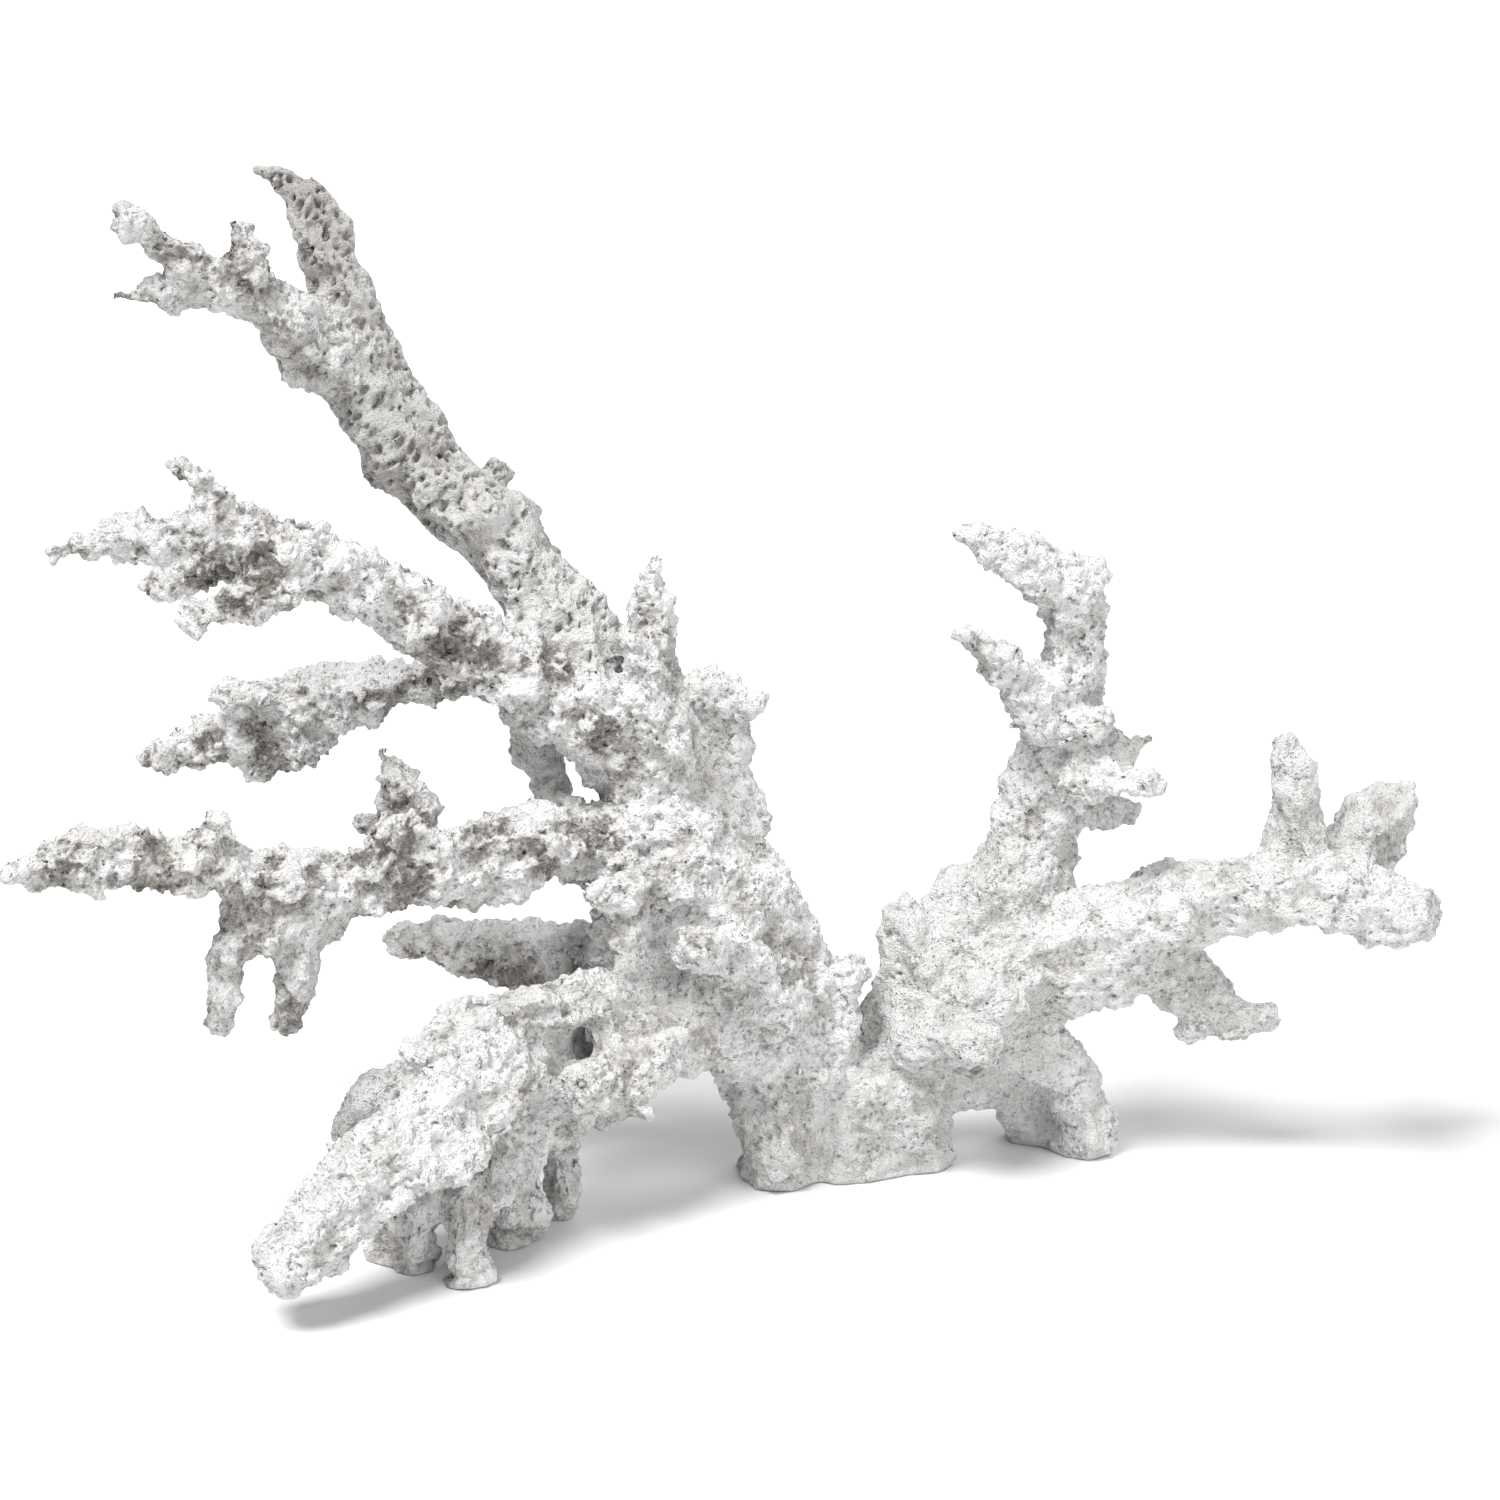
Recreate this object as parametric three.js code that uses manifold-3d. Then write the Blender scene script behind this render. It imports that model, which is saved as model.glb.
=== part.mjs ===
// Branch coral: a bleached, porous coral with two stems on one cut base, split at its main forks.
// Millimetres, +Z up, seen from the front along +Y.
// The origin is the middle of the outline's box, on the surface that the cut feet stand on.

import * as THREE from 'three';
import { ImprovedNoise } from 'three/addons/math/ImprovedNoise.js';
import { mergeVertices } from 'three/addons/utils/BufferGeometryUtils.js';
import Module from 'manifold-3d';

const wasm = await Module();
wasm.setup();

// Driving dimensions
const FRONT_VIEW_WIDTH = 465;
const FORK_GAP = 0.3;
const RING_STEP = 15;
const CAP_ROWS = 1;
const THIN_RADIUS = 14.1;
const THIN_SIDES = 6;
const THICK_SIDES = 7;
const LUMP_SPACING = 8.5;
const LUMP_SHARE = 0.5;
const WORN_END_SHARE = 0.75;
const BROKEN_END_SHARE = 0.2;

// The front view that every knot is read from: columns and rows of a square picture.
const PICTURE_COLUMNS = 1500;
const PICTURE_MIDDLE = PICTURE_COLUMNS / 2;
const FLOOR_ROW = 1180;
const VIEW_DISTANCE = 1500;
const VIEW_ELEVATION = THREE.MathUtils.degToRad(15);
const MM_PER_STEP = FRONT_VIEW_WIDTH / PICTURE_COLUMNS;

const noise = new ImprovedNoise();

// A direction in space for one column and row of the front view.
function sightLine(column, row) {
  const right = (column - PICTURE_MIDDLE) * MM_PER_STEP / VIEW_DISTANCE;
  const up = (PICTURE_MIDDLE - row) * MM_PER_STEP / VIEW_DISTANCE;
  const cos = Math.cos(VIEW_ELEVATION);
  const sin = Math.sin(VIEW_ELEVATION);
  return new THREE.Vector3(right, cos + up * sin, up * cos - sin);
}

// The eye stands so that the floor row of the middle column meets the floor at depth zero.
const EYE_BACK = VIEW_DISTANCE * Math.cos(VIEW_ELEVATION);
const floorLine = sightLine(PICTURE_MIDDLE, FLOOR_ROW);
const EYE = new THREE.Vector3(0, -EYE_BACK, -floorLine.z / floorLine.y * EYE_BACK);

// The place in space at a column and row of the front view, at a depth in millimetres.
function place(column, row, depth) {
  const line = sightLine(column, row);
  return line.multiplyScalar((depth - EYE.y) / line.y).add(EYE);
}

function solidFrom(geometry) {
  geometry.deleteAttribute('normal');
  geometry.deleteAttribute('uv');
  const welded = mergeVertices(geometry, 1e-4);
  const triangles = [];
  for (let i = 0; i < welded.index.count; i += 3) {
    const [a, b, c] = [0, 1, 2].map((corner) => welded.index.getX(i + corner));
    if (a !== b && b !== c && c !== a) triangles.push(a, b, c);
  }
  return new wasm.Manifold(new wasm.Mesh({
    numProp: 3,
    vertProperties: new Float32Array(welded.attributes.position.array),
    triVerts: new Uint32Array(triangles),
  }));
}

// Lumps swell and shrink the surface by a share of the limb's own radius.
function lump(point) {
  const scaled = point.clone().divideScalar(LUMP_SPACING);
  return 1 + LUMP_SHARE * noise.noise(scaled.x, scaled.y, scaled.z);
}

// A limb is a capsule bent along a curve through its knots: [column, row, depth, radius].
function limb(knots, endShare = WORN_END_SHARE) {
  return (swell) => {
    const places = knots.map(([column, row, depth]) => place(column, row, depth));
    const curve = new THREE.CatmullRomCurve3(places, false, 'centripetal');
    const rings = Math.max(2, Math.round(curve.getLength() / RING_STEP));
    const frames = curve.computeFrenetFrames(rings, false);
    const thickest = Math.max(...knots.map((knot) => knot[3]));
    const sides = thickest < THIN_RADIUS ? THIN_SIDES : THICK_SIDES;
    const geometry = new THREE.CapsuleGeometry(1, 1, CAP_ROWS, sides, rings);
    const spots = geometry.attributes.position;
    for (let i = 0; i < spots.count; i += 1) {
      const local = new THREE.Vector3().fromBufferAttribute(spots, i);
      const along = THREE.MathUtils.clamp(local.y + 0.5, 0, 1);
      const past = local.y + 0.5 - along;
      const ring = Math.round(along * rings);
      const share = curve.getUtoTmapping(ring / rings) * (knots.length - 1);
      const before = Math.min(Math.floor(share), knots.length - 2);
      const radius = THREE.MathUtils.lerp(knots[before][3], knots[before + 1][3], share - before);
      const offset = new THREE.Vector3()
        .addScaledVector(frames.normals[ring], local.x)
        .addScaledVector(frames.binormals[ring], -local.z)
        .addScaledVector(frames.tangents[ring], past * endShare);
      const centre = curve.getPointAt(ring / rings);
      const reach = radius * lump(centre.clone().addScaledVector(offset, radius)) + swell;
      const spot = centre.addScaledVector(offset, reach);
      spots.setXYZ(i, spot.x, spot.y, spot.z);
    }
    return solidFrom(geometry);
  };
}

// A knob is a rounded lump at [column, row, depth, radius].
function knob([column, row, depth, radius]) {
  return (swell) => {
    const geometry = new THREE.OctahedronGeometry(1, 1);
    const spots = geometry.attributes.position;
    const centre = place(column, row, depth);
    for (let i = 0; i < spots.count; i += 1) {
      const offset = new THREE.Vector3().fromBufferAttribute(spots, i);
      const reach = radius * lump(centre.clone().addScaledVector(offset, radius)) + swell;
      const spot = centre.clone().addScaledVector(offset, reach);
      spots.setXYZ(i, spot.x, spot.y, spot.z);
    }
    return solidFrom(geometry);
  };
}

// The cut base: three worn roots in a row, a cone in front and a root behind.
const LEFT_ROOT = [[802, 1058, 4, 18], [793, 1100, 4, 15.6], [782, 1140, 4, 14.5], [774, 1215, 4, 14]];
const MIDDLE_ROOT = [[850, 1075, 8, 17], [852, 1130, 8, 15], [855, 1210, 8, 14]];
const RIGHT_ROOT = [[898, 1075, 14, 16], [912, 1120, 16, 12.5], [922, 1190, 17, 10.5]];
const BASE_SILL = [[768, 1162, 5, 13], [850, 1156, 11, 13], [925, 1148, 17, 10.5]];
const FRONT_CONE = [[790, 1122, -13, 1.8], [786, 1145, -9, 6], [782, 1175, -6, 8]];
const REAR_ROOT = [[825, 1075, 20, 13], [836, 1110, 34, 11], [840, 1190, 42, 10.5]];

function baseFoot() {
  const roots = [LEFT_ROOT, MIDDLE_ROOT, RIGHT_ROOT, BASE_SILL, FRONT_CONE, REAR_ROOT];
  return roots.map((knots) => limb(knots));
}

// The left stem climbs from the base to the fork of the crest and shoulder branches.
const LEFT_STEM = [[790, 1075, 5, 19], [770, 1030, 2, 22], [742, 970, 0, 25], [712, 905, -2, 25],
  [682, 845, 0, 22], [650, 785, 0, 19], [616, 722, 0, 16.5], [600, 690, 0, 14]];
const STEM_RIDGE = [[740, 850, 8, 9], [768, 895, 8, 9.5], [788, 930, 6, 9.5], [815, 975, 5, 11.5],
  [831, 1015, 3, 8.6], [829, 1050, 0, 7]];
const STEM_FLANK = [[655, 850, -4, 14], [628, 905, -4, 12.5], [626, 960, -6, 13], [665, 1010, -8, 14]];
const STEM_KNOB = [848, 974, 4, 7];
const UPPER_FINGER = [[700, 872, -16, 10], [650, 885, -30, 7.2], [606, 893, -40, 5.6], [590, 894, -42, 4]];
const LOWER_FINGER = [[765, 975, -12, 10.5], [726, 957, -28, 9], [700, 943, -42, 7.2], [692, 939, -46, 5.6]];

function leftTrunk() {
  const limbs = [LEFT_STEM, STEM_RIDGE, STEM_FLANK, UPPER_FINGER, LOWER_FINGER];
  return [...limbs.map((knots) => limb(knots)), knob(STEM_KNOB)];
}

const TRUNK_SPIKE = [[672, 750, -10, 10], [655, 695, -12, 9.6], [648, 645, -12, 8.6], [652, 600, -11, 6.6],
  [655, 570, -10, 4.4], [656, 556, -10, 2.4]];

function trunkSpike() {
  return [limb(TRUNK_SPIKE)];
}

const STUB_STEM = [[712, 870, 14, 16], [716, 800, 20, 13.6], [717, 735, 24, 12.2], [710, 680, 25, 11.6]];
const STUB_LEDGE = [[722, 716, 23, 8.5], [744, 706, 20, 6], [758, 702, 19, 3.4]];

function brokenStub() {
  return [limb(STUB_STEM, BROKEN_END_SHARE), limb(STUB_LEDGE)];
}

// The crest branch is the tallest, and its tip is broken into a horn.
const CREST_STEM = [[598, 690, 2, 14.5], [556, 612, 4, 14], [506, 546, 6, 12.2], [453, 494, 8, 12.6],
  [404, 442, 10, 13.6], [373, 400, 12, 13.2], [353, 350, 14, 11.6], [341, 300, 15, 9.6],
  [329, 250, 17, 9.8], [313, 210, 19, 8.8], [300, 182, 20, 6]];
const CREST_HORN = [[308, 190, 20, 6], [275, 176, 19, 3.4], [256, 172, 18, 1.8]];
const CREST_KNOB = [[414, 450, 8, 12], [390, 462, 6, 11], [374, 471, 5, 8.6]];
const CREST_FACE_KNOB = [492, 502, -3, 5.5];
const CREST_BACK_KNOB = [494, 476, 15, 6.4];

function crestBranch() {
  const knobs = [CREST_FACE_KNOB, CREST_BACK_KNOB];
  return [limb(CREST_STEM), limb(CREST_HORN), limb(CREST_KNOB), ...knobs.map(knob)];
}

const FORK_STEM = [[350, 362, 10, 11.5], [300, 328, 0, 11.2], [262, 299, -7, 8.6], [225, 280, -13, 7.4],
  [196, 268, -17, 6]];
const FORK_UPPER_TINE = [[205, 270, -17, 6.4], [166, 246, -21, 4.8], [140, 228, -24, 5], [120, 216, -26, 4]];
const FORK_LOWER_TINE = [[210, 284, -15, 6], [162, 293, -19, 3.4], [135, 298, -22, 2.2], [110, 297, -25, 1.1]];
const FORK_SPIKE = [[245, 275, -9, 7], [239, 246, -7, 4.4], [232, 221, -6, 1.8]];
const FORK_HEEL = [300, 364, 4, 7];

function crestFork() {
  return [limb(FORK_STEM), limb(FORK_UPPER_TINE), limb(FORK_LOWER_TINE), limb(FORK_SPIKE), knob(FORK_HEEL)];
}

const SHOULDER_STEM = [[605, 725, -4, 15], [542, 690, -10, 14.5], [480, 655, -16, 12.4], [420, 618, -24, 11.6],
  [365, 588, -31, 11.4], [310, 558, -38, 10.6], [260, 536, -44, 9], [190, 536, -51, 7.4],
  [120, 543, -57, 6], [76, 547, -61, 4.2], [50, 550, -62, 2.4]];
const SHOULDER_SPIKE = [[245, 528, -46, 8], [211, 497, -47, 5.6], [189, 474, -48, 3.8], [175, 462, -49, 2.2]];
const SHOULDER_LOWER_FINGER = [[300, 572, -44, 8.5], [258, 592, -50, 7.4], [224, 604, -55, 6],
  [186, 619, -60, 3.4]];
const SHOULDER_REAR_FINGER = [[268, 548, -40, 7.5], [222, 568, -34, 6.4], [185, 579, -28, 5.2],
  [160, 584, -25, 4.4], [147, 586, -24, 3.2]];

function shoulderBranch() {
  return [limb(SHOULDER_STEM), limb(SHOULDER_SPIKE), limb(SHOULDER_LOWER_FINGER), limb(SHOULDER_REAR_FINGER)];
}

// The rear branch leaves the back of the left stem and carries a lobe above and one below.
const REAR_STEM = [[600, 700, 10, 11], [525, 668, 22, 8.5], [480, 672, 28, 6.6], [435, 682, 34, 6.2],
  [395, 688, 38, 7.4], [360, 692, 41, 9.5], [310, 705, 46, 10.5], [255, 728, 52, 10.5],
  [205, 742, 56, 7.5], [165, 755, 60, 4.8], [146, 762, 62, 3]];
const REAR_UPPER_LOBE = [[310, 696, 44, 9], [262, 699, 44, 7.4], [228, 697, 44, 6.4]];
const REAR_LOWER_LOBE = [[325, 738, 46, 7], [290, 748, 47, 8.4], [256, 766, 51, 5.6]];

function rearBranch() {
  return [limb(REAR_STEM), limb(REAR_UPPER_LOBE), limb(REAR_LOWER_LOBE)];
}

// The side branch is the longest, and reaches forward to the left.
const SIDE_STEM = [[670, 850, -4, 16], [600, 845, -12, 14.5], [538, 842, -20, 13], [470, 864, -30, 11],
  [400, 878, -40, 11], [340, 886, -49, 10.4], [300, 881, -55, 9.4], [245, 873, -63, 8], [204, 860, -69, 8.4],
  [150, 860, -77, 9.4], [102, 860, -84, 6.4], [52, 866, -90, 7], [24, 869, -93, 5], [9, 868, -95, 3]];
const SIDE_SPIKE = [[414, 852, -34, 12], [405, 812, -27, 9.6], [393, 780, -22, 6.8], [384, 758, -20, 3.6],
  [381, 748, -19, 1.8]];
const SIDE_SPIKE_HEEL = [372, 824, -26, 4.8];
const SIDE_TOP_KNOB = [206, 838, -68, 7.6];
const SIDE_END_KNOB = [146, 842, -78, 5.8];
const SIDE_TIP_KNOB = [37, 884, -92, 4.4];
const SIDE_FRONT_KNOB = [395, 832, -45, 7];

function sideBranch() {
  const knobs = [SIDE_SPIKE_HEEL, SIDE_TOP_KNOB, SIDE_END_KNOB, SIDE_TIP_KNOB, SIDE_FRONT_KNOB];
  return [limb(SIDE_STEM), limb(SIDE_SPIKE), ...knobs.map(knob)];
}

const PRONG_ROOT = [[250, 892, -62, 8], [290, 905, -57, 8.5], [332, 912, -52, 8.5]];
const LEFT_PRONG = [[252, 898, -62, 7.5], [240, 930, -63, 6.4], [229, 968, -63, 5.8], [221, 1005, -62, 5.2],
  [218, 1026, -61, 4.4]];
const RIGHT_PRONG = [[308, 905, -55, 8.5], [301, 945, -56, 6.6], [294, 975, -58, 5.4], [286, 1006, -59, 6.8],
  [287, 1027, -59, 5.4]];
const PRONG_LUMP = [268, 930, -62, 9];
const PRONG_HEEL = [332, 930, -50, 5.4];

function hangingProngs() {
  return [limb(PRONG_ROOT), limb(LEFT_PRONG), limb(RIGHT_PRONG), knob(PRONG_LUMP), knob(PRONG_HEEL)];
}

const STRUT_STEM = [[518, 700, 8, 8], [534, 745, 14, 5.2], [549, 778, 10, 5.4], [560, 815, -2, 7.5]];
const STRUT_SPIKE = [[533, 758, 13, 4], [515, 752, 14, 2.6], [505, 748, 14, 1.3]];

function bridgeStrut() {
  return [limb(STRUT_STEM), limb(STRUT_SPIKE)];
}

const LOW_STEM = [[700, 955, 6, 13], [620, 960, 12, 11], [550, 955, 18, 10], [500, 949, 24, 9.6],
  [450, 940, 30, 8.8], [412, 937, 35, 6.6], [390, 940, 37, 3.4]];
const LOW_LIP = [[620, 985, 10, 9.5], [545, 978, 16, 8], [490, 966, 22, 6.4], [446, 954, 28, 4]];

function lowBranch() {
  return [limb(LOW_STEM), limb(LOW_LIP)];
}

// The front leg runs forward to the left in two ridges with a hollow between them, and stands on five small
// feet under an overhanging slab.
const LEG_UPPER_RIDGE = [[740, 1010, -4, 18], [665, 1006, -18, 12.4], [600, 1000, -32, 9], [548, 1006, -46, 9.6],
  [500, 1022, -58, 11], [455, 1037, -64, 10], [424, 1052, -67, 6.5]];
const LEG_LOWER_RIDGE = [[740, 1018, -4, 16], [682, 1036, -20, 10.5], [646, 1058, -31, 10.6],
  [606, 1082, -43, 12], [565, 1098, -53, 11.5]];
const LEG_CORE = [[680, 1026, 2, 16], [610, 1040, -10, 16], [560, 1050, -26, 14], [510, 1085, -46, 16],
  [465, 1100, -60, 14]];
const LEG_SLAB = [[470, 1050, -66, 10], [476, 1090, -76, 10.5], [462, 1130, -86, 10]];
const SLAB_EDGE = [[520, 1080, -72, 6.5], [500, 1114, -81, 7], [470, 1148, -92, 7], [446, 1176, -98, 6.4]];
const LEG_SHELL_LOBE = [579, 1097, -60, 9];
const LEG_SPIKE = [[600, 1108, -44, 7], [630, 1113, -47, 4], [645, 1115, -49, 1.8]];
const LEG_UPPER_BALL = [511, 1056, -70, 6.6];
const LEG_SADDLE = [528, 1046, -52, 9];
const LEG_LOWER_BALL = [532, 1079, -72, 5.6];
const LEG_LEDGE = [413, 1046, -66, 4.5];
const FRONT_FOOT = [[492, 1120, -66, 11], [482, 1165, -76, 9.6], [470, 1225, -87, 8.8], [463, 1320, -90, 8.4]];
const LEFT_FOOT = [[450, 1130, -72, 11], [425, 1195, -76, 8], [412, 1300, -79, 6.5]];
const OUTER_FOOT = [[440, 1115, -66, 11], [402, 1180, -66, 9], [378, 1290, -69, 7.5]];
const MIDDLE_FOOT = [[525, 1110, -55, 12], [514, 1175, -56, 9.5], [508, 1280, -56, 6.6]];
const INNER_FOOT = [[556, 1105, -44, 10], [560, 1158, -38, 6.2], [557, 1240, -32, 4.4]];

function frontLeg() {
  const ridges = [LEG_UPPER_RIDGE, LEG_LOWER_RIDGE, LEG_CORE, LEG_SLAB, SLAB_EDGE, LEG_SPIKE];
  const feet = [FRONT_FOOT, LEFT_FOOT, OUTER_FOOT, MIDDLE_FOOT, INNER_FOOT];
  const knobs = [LEG_SHELL_LOBE, LEG_UPPER_BALL, LEG_SADDLE, LEG_LOWER_BALL, LEG_LEDGE];
  return [...ridges, ...feet].map((knots) => limb(knots)).concat(knobs.map(knob));
}

// The front arm leans out from the front leg and its tip hangs just over the floor.
const ARM_STEM = [[480, 1090, -72, 14], [428, 1126, -86, 15], [376, 1176, -101, 13.6], [328, 1222, -115, 12.4],
  [293, 1254, -123, 12.2], [276, 1266, -127, 10.6]];

function frontArm() {
  return [limb(ARM_STEM)];
}

const REAR_FINGER = [[455, 1058, -54, 8.5], [408, 1078, -50, 6.6], [382, 1090, -48, 6.6], [354, 1116, -44, 6.6],
  [338, 1135, -42, 4]];

function rearFinger() {
  return [limb(REAR_FINGER)];
}

// The right stem leans to the right, with a lobe on its left and a stub in front.
const RIGHT_STEM = [[885, 1080, 15, 15], [902, 1030, 16, 17], [935, 980, 18, 18.5], [975, 930, 20, 18.5],
  [1010, 885, 22, 16.5], [1030, 850, 25, 14]];
const STEM_LOBE = [[936, 972, 14, 14], [908, 936, 13, 11], [907, 912, 12, 8.4]];
const STEM_WEB = [[857, 1068, 18, 11], [884, 1036, 22, 10.5], [918, 1000, 20, 12]];
const STEM_BULGE = [[905, 1040, 12, 15], [960, 1010, 10, 16], [1010, 975, 10, 15.5]];
const FRONT_STUB = [[925, 1040, 0, 11], [962, 1047, -10, 8], [990, 1048, -16, 6]];

function rightStem() {
  return [RIGHT_STEM, STEM_LOBE, STEM_WEB, STEM_BULGE, FRONT_STUB].map((knots) => limb(knots));
}

const UPRIGHT_STEM = [[1015, 885, 25, 15], [1038, 828, 27, 13.4], [1048, 785, 28, 12.8], [1058, 745, 27, 11.8],
  [1068, 700, 26, 10.6], [1075, 655, 24, 10], [1073, 615, 22, 10.8], [1058, 583, 20, 10.6], [1030, 562, 18, 8.2],
  [1000, 548, 16, 6.2], [973, 533, 14, 5], [962, 528, 14, 4]];
const UPRIGHT_SHOULDER = [1080, 578, 20, 8.6];
const UPRIGHT_LEFT_FINGER = [[1047, 712, 19, 11.5], [1016, 678, 10, 7.2], [986, 653, 4, 5.2], [964, 637, 0, 3.4]];
const UPRIGHT_UPPER_FINGER = [[1072, 728, 16, 8], [1096, 722, 8, 5.2], [1110, 720, 4, 3]];
const UPRIGHT_MIDDLE_FINGER = [[1070, 765, 33, 8.5], [1110, 752, 38, 5.4], [1140, 742, 42, 4.2], [1154, 736, 44, 2.6]];
const UPRIGHT_LOWER_FINGER = [[1070, 785, 14, 9], [1112, 778, 6, 6.4], [1142, 782, 1, 4.4], [1155, 785, -1, 2.4]];
const UPRIGHT_WEDGE = [[1068, 800, 33, 9], [1103, 810, 41, 6.8], [1128, 812, 46, 5]];

function uprightBranch() {
  const limbs = [UPRIGHT_STEM, UPRIGHT_LEFT_FINGER, UPRIGHT_UPPER_FINGER, UPRIGHT_MIDDLE_FINGER,
    UPRIGHT_LOWER_FINGER, UPRIGHT_WEDGE];
  return [...limbs.map((knots) => limb(knots)), knob(UPRIGHT_SHOULDER)];
}

const REACHING_STEM = [[990, 960, 16, 17], [1060, 948, 16, 16.5], [1110, 932, 14, 14.5], [1160, 915, 12, 13.5],
  [1210, 900, 10, 13.2], [1260, 889, 8, 13.6], [1310, 884, 5, 13], [1355, 898, 2, 12], [1395, 912, 0, 10],
  [1430, 913, -2, 7.4]];
const REACHING_KEEL = [[1000, 985, 14, 14], [1055, 987, 14, 11.5], [1105, 975, 13, 10.5], [1150, 960, 13, 10.5]];

function reachingBranch() {
  return [limb(REACHING_STEM), limb(REACHING_KEEL)];
}

const TIP_UPPER_FINGER = [[1300, 868, 8, 11], [1297, 820, 8, 8.4], [1295, 780, 9, 7.2], [1292, 752, 10, 5.2],
  [1292, 742, 10, 3.4]];
const TIP_REAR_FINGER = [[1335, 868, 18, 12], [1364, 834, 26, 13], [1385, 812, 31, 12.4], [1402, 796, 34, 7.6]];

function reachingTips() {
  return [limb(TIP_UPPER_FINGER), limb(TIP_REAR_FINGER)];
}

const TIP_SMALL_FINGER = [[1365, 886, 14, 6.5], [1385, 882, 18, 3.4], [1399, 876, 20, 1.8]];

function smallTip() {
  return [limb(TIP_SMALL_FINGER)];
}

const DROOPING_STEM = [[1140, 955, 14, 12], [1180, 975, 17, 11], [1208, 1000, 18, 10.5], [1226, 1020, 17, 8],
  [1254, 1024, 14, 5.6], [1274, 1022, 12, 3.4]];
const DROOPING_HEEL = [1192, 1030, 17, 5.6];

function droopingBranch() {
  return [limb(DROOPING_STEM), knob(DROOPING_HEEL)];
}

const LEG_WEB = [[905, 1078, 16, 12], [952, 1080, 20, 9.2], [1000, 1080, 30, 9]];
const RIGHT_FOOT = [[1000, 1038, 16, 11], [1038, 1048, 18, 9.6], [1068, 1070, 22, 10.2], [1077, 1110, 26, 10.2],
  [1078, 1200, 27, 10.4]];
const REAR_FOOT = [[1014, 1064, 32, 10.5], [1032, 1098, 38, 10.4], [1035, 1190, 42, 10.2]];

function rightLegs() {
  return [limb(LEG_WEB), limb(RIGHT_FOOT), limb(REAR_FOOT)];
}

// Each branch ends at the ones placed before it, with the fork gap between them.
const BRANCHES = {
  base_foot: baseFoot(),
  left_trunk: leftTrunk(),
  right_stem: rightStem(),
  crest_branch: crestBranch(),
  crest_fork: crestFork(),
  shoulder_branch: shoulderBranch(),
  side_branch: sideBranch(),
  hanging_prongs: hangingProngs(),
  trunk_spike: trunkSpike(),
  broken_stub: brokenStub(),
  rear_branch: rearBranch(),
  bridge_strut: bridgeStrut(),
  low_branch: lowBranch(),
  front_leg: frontLeg(),
  front_arm: frontArm(),
  rear_finger: rearFinger(),
  upright_branch: uprightBranch(),
  reaching_branch: reachingBranch(),
  reaching_tips: reachingTips(),
  small_tip: smallTip(),
  drooping_branch: droopingBranch(),
  right_legs: rightLegs(),
};

function fuse(limbs, swell) {
  return limbs.map((build) => build(swell)).reduce((whole, next) => whole.add(next));
}

// Everything under the floor is ground away, which leaves the flat soles.
function belowFloor() {
  const block = new THREE.BoxGeometry(2 * FRONT_VIEW_WIDTH, 2 * FRONT_VIEW_WIDTH, FRONT_VIEW_WIDTH);
  block.translate(0, 0, -FRONT_VIEW_WIDTH / 2);
  return solidFrom(block);
}

function largestPart(solid) {
  return solid.decompose().reduce((best, part) => (part.volume() > best.volume() ? part : best));
}

function geometryFrom(solid) {
  const mesh = solid.getMesh();
  const geometry = new THREE.BufferGeometry();
  geometry.setAttribute('position', new THREE.BufferAttribute(mesh.vertProperties, 3));
  geometry.setIndex(new THREE.BufferAttribute(mesh.triVerts, 1));
  return geometry;
}

function chalk() {
  return new THREE.MeshStandardMaterial({ color: '#e9e7e3', roughness: 0.95, metalness: 0 });
}

const coral = new THREE.Group();
const ground = belowFloor();
let taken = ground;
for (const [name, limbs] of Object.entries(BRANCHES)) {
  const solid = largestPart(fuse(limbs, 0).subtract(taken));
  const mesh = new THREE.Mesh(geometryFrom(solid), chalk());
  mesh.name = name;
  coral.add(mesh);
  taken = taken.add(fuse(limbs, FORK_GAP));
}

// The origin moves to the middle of the outline's box, at floor level.
const middle = new THREE.Box3().setFromObject(coral).getCenter(new THREE.Vector3());
coral.position.set(-middle.x, -middle.y, 0);

export default coral;
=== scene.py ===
"""Branch coral: a bleached, porous coral skeleton that stands on its own cut feet."""

import math

import bpy
import numpy as np
from mathutils import Matrix, Vector
from mathutils.bvhtree import BVHTree


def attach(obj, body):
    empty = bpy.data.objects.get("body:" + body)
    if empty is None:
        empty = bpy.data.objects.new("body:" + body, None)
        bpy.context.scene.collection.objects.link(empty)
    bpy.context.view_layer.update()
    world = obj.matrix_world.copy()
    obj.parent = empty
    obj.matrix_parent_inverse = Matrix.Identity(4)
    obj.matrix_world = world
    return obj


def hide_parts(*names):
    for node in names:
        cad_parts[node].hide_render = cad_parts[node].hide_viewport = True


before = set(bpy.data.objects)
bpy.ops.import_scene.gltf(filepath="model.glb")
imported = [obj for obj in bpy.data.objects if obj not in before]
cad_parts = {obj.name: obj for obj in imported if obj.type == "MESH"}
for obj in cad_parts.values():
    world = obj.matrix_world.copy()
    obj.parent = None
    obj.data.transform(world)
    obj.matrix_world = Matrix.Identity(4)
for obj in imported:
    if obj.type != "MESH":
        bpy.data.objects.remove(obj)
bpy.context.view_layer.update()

MM = 0.001

# The front view: a square picture of this width at this distance, seen from a little above.
FRONT_VIEW_WIDTH = 465 * MM
VIEW_DISTANCE = 1500 * MM
VIEW_ELEVATION = math.radians(15)
PICTURE_ROWS = 1500
SENSOR_WIDTH = 36.0
CLIP_START = 0.05
CLIP_END = 60.0
# The floor point that the middle column of the picture shows on this row.
FLOOR_ROW = 1180
VIEW_POINT_ON_FLOOR = Vector((0.3, 35.9, 0.0)) * MM

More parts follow.
